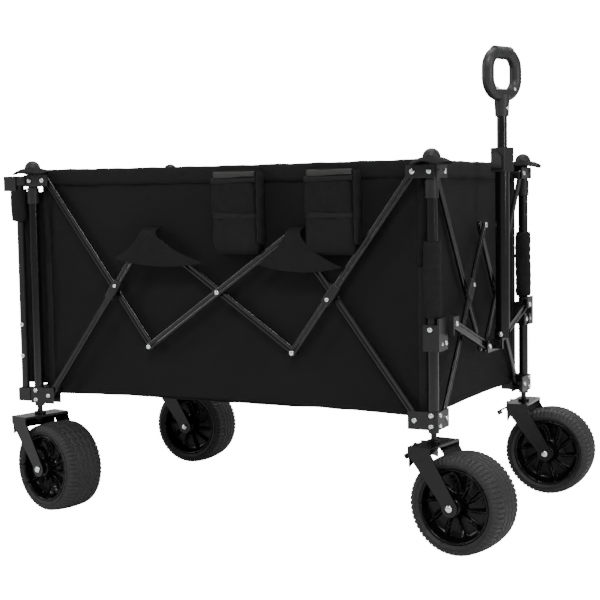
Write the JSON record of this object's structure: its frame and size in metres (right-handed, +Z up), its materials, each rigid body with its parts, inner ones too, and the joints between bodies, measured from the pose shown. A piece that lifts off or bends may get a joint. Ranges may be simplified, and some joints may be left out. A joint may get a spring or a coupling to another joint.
{
  "type": "folding camp wagon",
  "caption": "Four-wheel folding camp wagon with a fabric basket on a scissor-bar frame, swivel casters and a telescoping pull handle with a ring grip.",
  "frame": {"origin": "Bottom centre of the bounding box, on the ground.", "axes": "X runs from the rear toward the pull handle, Y toward the wagon's left side, Z up."},
  "size_m": [1.2094, 0.7334, 1.01],
  "materials": {
    "frame_steel": "black powder-coated steel tube and flat bar, semi-gloss",
    "bracket_steel": "black powder-coated pressed steel with bright rivet heads",
    "fork_steel": "black powder-coated pressed steel, gloss",
    "lever_steel": "black pressed steel",
    "cap_plastic": "moulded dark grey plastic, fine texture",
    "button_plastic": "moulded black plastic",
    "rim_plastic": "moulded black plastic with a glossy lip",
    "tyre_rubber": "moulded black tread rubber, matte",
    "grip_rubber": "soft-touch black plastic with ribs",
    "sleeve_fabric": "black woven sleeve over foam",
    "liner_fabric": "black coated polyester weave",
    "pocket_fabric": "black polyester with mesh tops and bound edges"
  },
  "bodies": {
    "post_rear_right": {"post_rear_right": "frame_steel", "brackets_rear_right": "bracket_steel", "cap_rear_right": "cap_plastic", "liner_walls": "liner_fabric", "pockets": "pocket_fabric"},
    "bar_right_a": {"bar_right_a": "frame_steel"},
    "bar_left_a": {"bar_left_a": "frame_steel"},
    "bar_right_b": {"bar_right_b": "frame_steel"},
    "bar_left_b": {"bar_left_b": "frame_steel"},
    "bar_right_c": {"bar_right_c": "frame_steel"},
    "bar_left_c": {"bar_left_c": "frame_steel"},
    "bar_right_d": {"bar_right_d": "frame_steel"},
    "bar_left_d": {"bar_left_d": "frame_steel"},
    "bar_right_e": {"bar_right_e": "frame_steel"},
    "bar_left_e": {"bar_left_e": "frame_steel"},
    "bar_right_f": {"bar_right_f": "frame_steel"},
    "bar_left_f": {"bar_left_f": "frame_steel"},
    "post_front_right": {"post_front_right": "frame_steel", "brackets_front_right": "bracket_steel", "cap_front_right": "cap_plastic", "post_sleeve_front_right": "sleeve_fabric"},
    "bar_front_g": {"bar_front_g": "frame_steel"},
    "bar_front_h": {"bar_front_h": "frame_steel"},
    "bar_front_i": {"bar_front_i": "frame_steel"},
    "bar_front_j": {"bar_front_j": "frame_steel"},
    "post_front_left": {"post_front_left": "frame_steel", "brackets_front_left": "bracket_steel", "cap_front_left": "cap_plastic", "post_sleeve_front_left": "sleeve_fabric"},
    "bar_rear_g": {"bar_rear_g": "frame_steel"},
    "bar_rear_h": {"bar_rear_h": "frame_steel"},
    "bar_rear_i": {"bar_rear_i": "frame_steel"},
    "bar_rear_j": {"bar_rear_j": "frame_steel"},
    "post_rear_left": {"post_rear_left": "frame_steel", "brackets_rear_left": "bracket_steel", "cap_rear_left": "cap_plastic"},
    "floor_right": {"liner_floor_right": "liner_fabric"},
    "floor_left": {"liner_floor_left": "liner_fabric"},
    "fork_rear_right": {"fork_rear_right": "fork_steel"},
    "wheel_rear_right": {"rim_rear_right": "rim_plastic", "tyre_rear_right": "tyre_rubber"},
    "fork_rear_left": {"fork_rear_left": "fork_steel"},
    "wheel_rear_left": {"rim_rear_left": "rim_plastic", "tyre_rear_left": "tyre_rubber"},
    "fork_front_right": {"fork_front_right": "fork_steel"},
    "wheel_front_right": {"rim_front_right": "rim_plastic", "tyre_front_right": "tyre_rubber"},
    "brake_lever_front_right": {"brake_lever_front_right": "lever_steel"},
    "fork_front_left": {"fork_front_left": "fork_steel"},
    "wheel_front_left": {"rim_front_left": "rim_plastic", "tyre_front_left": "tyre_rubber"},
    "brake_lever_front_left": {"brake_lever_front_left": "lever_steel"},
    "handle_arm_right": {"handle_arm_right": "frame_steel"},
    "handle_arm_left": {"handle_arm_left": "frame_steel"},
    "handle_yoke": {"handle_yoke": "frame_steel"},
    "handle_lower": {"handle_lower_tube": "frame_steel", "handle_clamp": "cap_plastic"},
    "handle_button": {"handle_button": "button_plastic"},
    "handle_upper": {"handle_upper_tube": "frame_steel", "handle_grip": "grip_rubber"}
  },
  "joints": [
    {"name": "fold", "type": "hinge", "parent": "post_rear_right", "child": "bar_right_b", "pos_m": [-0.49721, -0.28262, 0.257], "axis": [0, -1, 0], "range_deg": [0, 31], "deforming": ["liner_walls", "pockets", "liner_floor_right", "liner_floor_left"]},
    {"name": "right_d", "type": "hinge", "parent": "bar_right_b", "child": "bar_right_d", "pos_m": [-0.22371, -0.28262, 0.6243], "axis": [0, -1, 0], "range_deg": [-75.66, 0]},
    {"name": "right_c", "type": "hinge", "parent": "bar_right_d", "child": "bar_right_c", "pos_m": [-0.04771, -0.28262, 0.502], "axis": [0, -1, 0], "range_deg": [0, 89.32]},
    {"name": "right_f", "type": "hinge", "parent": "bar_right_c", "child": "bar_right_f", "pos_m": [0.12829, -0.28262, 0.6243], "axis": [0, -1, 0], "range_deg": [-75.66, 0]},
    {"name": "front_right_post", "type": "hinge", "parent": "bar_right_f", "child": "post_front_right", "pos_m": [0.40179, -0.28262, 0.257], "axis": [0, -1, 0], "range_deg": [0, 31]},
    {"name": "right_a", "type": "hinge", "parent": "post_rear_right", "child": "bar_right_a", "pos_m": [-0.49721, -0.28262, 0.747], "axis": [0, -1, 0], "range_deg": [-31, 0]},
    {"name": "right_e", "type": "hinge", "parent": "post_front_right", "child": "bar_right_e", "pos_m": [0.40179, -0.28262, 0.747], "axis": [0, -1, 0], "range_deg": [0, 31]},
    {"name": "front_g", "type": "hinge", "parent": "post_front_right", "child": "bar_front_g", "pos_m": [0.43729, -0.24712, 0.257], "axis": [1, 0, 0], "range_deg": [0, 27.27]},
    {"name": "front_h", "type": "hinge", "parent": "bar_front_g", "child": "bar_front_h", "pos_m": [0.43729, 0.00738, 0.634], "axis": [1, 0, 0], "range_deg": [-54.53, 0]},
    {"name": "front_left_post", "type": "hinge", "parent": "bar_front_h", "child": "post_front_left", "pos_m": [0.43729, 0.26188, 0.257], "axis": [1, 0, 0], "range_deg": [0, 27.27]},
    {"name": "front_i", "type": "hinge", "parent": "post_front_right", "child": "bar_front_i", "pos_m": [0.43729, -0.24712, 0.747], "axis": [1, 0, 0], "range_deg": [-27.27, 0]},
    {"name": "front_j", "type": "hinge", "parent": "post_front_left", "child": "bar_front_j", "pos_m": [0.43729, 0.26188, 0.747], "axis": [1, 0, 0], "range_deg": [0, 27.27]},
    {"name": "rear_g", "type": "hinge", "parent": "post_rear_right", "child": "bar_rear_g", "pos_m": [-0.53271, -0.24712, 0.257], "axis": [1, 0, 0], "range_deg": [0, 27.27]},
    {"name": "rear_h", "type": "hinge", "parent": "bar_rear_g", "child": "bar_rear_h", "pos_m": [-0.53271, 0.00738, 0.634], "axis": [1, 0, 0], "range_deg": [-54.53, 0]},
    {"name": "rear_left_post", "type": "hinge", "parent": "bar_rear_h", "child": "post_rear_left", "pos_m": [-0.53271, 0.26188, 0.257], "axis": [1, 0, 0], "range_deg": [0, 27.27]},
    {"name": "rear_i", "type": "hinge", "parent": "post_rear_right", "child": "bar_rear_i", "pos_m": [-0.53271, -0.24712, 0.747], "axis": [1, 0, 0], "range_deg": [-27.27, 0]},
    {"name": "rear_j", "type": "hinge", "parent": "post_rear_left", "child": "bar_rear_j", "pos_m": [-0.53271, 0.26188, 0.747], "axis": [1, 0, 0], "range_deg": [0, 27.27]},
    {"name": "left_b", "type": "hinge", "parent": "post_rear_left", "child": "bar_left_b", "pos_m": [-0.49721, 0.29738, 0.257], "axis": [0, -1, 0], "range_deg": [0, 31]},
    {"name": "left_d", "type": "hinge", "parent": "bar_left_b", "child": "bar_left_d", "pos_m": [-0.22371, 0.29738, 0.6243], "axis": [0, -1, 0], "range_deg": [-75.66, 0]},
    {"name": "left_a", "type": "hinge", "parent": "post_rear_left", "child": "bar_left_a", "pos_m": [-0.49721, 0.29738, 0.747], "axis": [0, -1, 0], "range_deg": [-31, 0]},
    {"name": "left_f", "type": "hinge", "parent": "post_front_left", "child": "bar_left_f", "pos_m": [0.40179, 0.29738, 0.257], "axis": [0, -1, 0], "range_deg": [-31, 0]},
    {"name": "left_c", "type": "hinge", "parent": "bar_left_f", "child": "bar_left_c", "pos_m": [0.12829, 0.29738, 0.6243], "axis": [0, -1, 0], "range_deg": [0, 75.66]},
    {"name": "left_e", "type": "hinge", "parent": "post_front_left", "child": "bar_left_e", "pos_m": [0.40179, 0.29738, 0.747], "axis": [0, -1, 0], "range_deg": [0, 31]},
    {"name": "floor_right_crease", "type": "hinge", "parent": "post_rear_right", "child": "floor_right", "pos_m": [-0.04771, -0.26382, 0.265], "axis": [1, 0, 0], "range_deg": [0, 74.97]},
    {"name": "floor_left_crease", "type": "hinge", "parent": "post_rear_left", "child": "floor_left", "pos_m": [-0.04771, 0.27858, 0.265], "axis": [1, 0, 0], "range_deg": [-74.97, 0]},
    {"name": "rear_right_swivel", "type": "hinge", "parent": "post_rear_right", "child": "fork_rear_right", "pos_m": [-0.53271, -0.28262, 0.22], "axis": [0, 0, 1], "continuous": true},
    {"name": "rear_right_wheel_spin", "type": "hinge", "parent": "fork_rear_right", "child": "wheel_rear_right", "pos_m": [-0.46964, -0.29835, 0.1], "axis": [0.2419, 0.9703, 0], "continuous": true},
    {"name": "rear_left_swivel", "type": "hinge", "parent": "post_rear_left", "child": "fork_rear_left", "pos_m": [-0.53271, 0.29738, 0.22], "axis": [0, 0, 1], "continuous": true},
    {"name": "rear_left_wheel_spin", "type": "hinge", "parent": "fork_rear_left", "child": "wheel_rear_left", "pos_m": [-0.46771, 0.29738, 0.1], "axis": [0, 1, 0], "continuous": true},
    {"name": "front_right_swivel", "type": "hinge", "parent": "post_front_right", "child": "fork_front_right", "pos_m": [0.43729, -0.28262, 0.22], "axis": [0, 0, 1], "continuous": true},
    {"name": "front_right_wheel_spin", "type": "hinge", "parent": "fork_front_right", "child": "wheel_front_right", "pos_m": [0.5018, -0.29054, 0.1], "axis": [0.1219, 0.9925, 0], "continuous": true},
    {"name": "front_right_brake", "type": "hinge", "parent": "fork_front_right", "child": "brake_lever_front_right", "pos_m": [0.40652, -0.27885, 0.199], "axis": [0.1219, 0.9925, 0], "range_deg": [-14, 0]},
    {"name": "front_left_swivel", "type": "hinge", "parent": "post_front_left", "child": "fork_front_left", "pos_m": [0.43729, 0.29738, 0.22], "axis": [0, 0, 1], "continuous": true},
    {"name": "front_left_wheel_spin", "type": "hinge", "parent": "fork_front_left", "child": "wheel_front_left", "pos_m": [0.5022, 0.30078, 0.1], "axis": [-0.0523, 0.9986, 0], "continuous": true},
    {"name": "front_left_brake", "type": "hinge", "parent": "fork_front_left", "child": "brake_lever_front_left", "pos_m": [0.40633, 0.29575, 0.199], "axis": [-0.0523, 0.9986, 0], "range_deg": [-14, 0]},
    {"name": "handle_arm_right_fold", "type": "hinge", "parent": "post_front_right", "child": "handle_arm_right", "pos_m": [0.43729, -0.23262, 0.445], "axis": [1, 0, 0], "range_deg": [-71.2, 0]},
    {"name": "handle_yoke_level", "type": "hinge", "parent": "handle_arm_right", "child": "handle_yoke", "pos_m": [0.43729, -0.02962, 0.378], "axis": [1, 0, 0], "range_deg": [0, 71.2]},
    {"name": "handle_arm_left_fold", "type": "hinge", "parent": "post_front_left", "child": "handle_arm_left", "pos_m": [0.43729, 0.24738, 0.445], "axis": [1, 0, 0], "range_deg": [0, 71.2]},
    {"name": "handle_tilt", "type": "hinge", "parent": "handle_yoke", "child": "handle_lower", "pos_m": [0.48379, 0.00738, 0.402], "axis": [0, 1, 0], "range_deg": [0, 90]},
    {"name": "handle_telescope", "type": "slide", "parent": "handle_lower", "child": "handle_upper", "axis": [0, 0, 1], "range_m": [-0.03, 0.26]},
    {"name": "handle_button_press", "type": "slide", "parent": "handle_lower", "child": "handle_button", "axis": [0.342, 0.9397, 0], "range_m": [0, 0.0025], "stiffness_N_per_m": 600, "springref_m": -0.002}
  ],
  "couplings": [
    {"joint": "right_d", "follows": "fold", "ratio": -2.4406},
    {"joint": "right_c", "follows": "fold", "ratio": 2.8812},
    {"joint": "right_f", "follows": "fold", "ratio": -2.4406},
    {"joint": "front_right_post", "follows": "fold", "ratio": 1},
    {"joint": "right_a", "follows": "fold", "ratio": -1},
    {"joint": "right_e", "follows": "fold", "ratio": 1},
    {"joint": "front_g", "follows": "fold", "ratio": 0.87959},
    {"joint": "front_h", "follows": "fold", "ratio": -1.7592},
    {"joint": "front_left_post", "follows": "fold", "ratio": 0.87959},
    {"joint": "front_i", "follows": "fold", "ratio": -0.87959},
    {"joint": "front_j", "follows": "fold", "ratio": 0.87959},
    {"joint": "rear_g", "follows": "fold", "ratio": 0.87959},
    {"joint": "rear_h", "follows": "fold", "ratio": -1.7592},
    {"joint": "rear_left_post", "follows": "fold", "ratio": 0.87959},
    {"joint": "rear_i", "follows": "fold", "ratio": -0.87959},
    {"joint": "rear_j", "follows": "fold", "ratio": 0.87959},
    {"joint": "left_b", "follows": "fold", "ratio": 1},
    {"joint": "left_d", "follows": "fold", "ratio": -2.4406},
    {"joint": "left_a", "follows": "fold", "ratio": -1},
    {"joint": "left_f", "follows": "fold", "ratio": -1},
    {"joint": "left_c", "follows": "fold", "ratio": 2.4406},
    {"joint": "left_e", "follows": "fold", "ratio": 1},
    {"joint": "floor_right_crease", "follows": "fold", "ratio": 2.4184},
    {"joint": "floor_left_crease", "follows": "fold", "ratio": -2.4184},
    {"joint": "handle_arm_right_fold", "follows": "fold", "ratio": -2.2967},
    {"joint": "handle_yoke_level", "follows": "fold", "ratio": 2.2967},
    {"joint": "handle_arm_left_fold", "follows": "fold", "ratio": 2.2967}
  ]
}
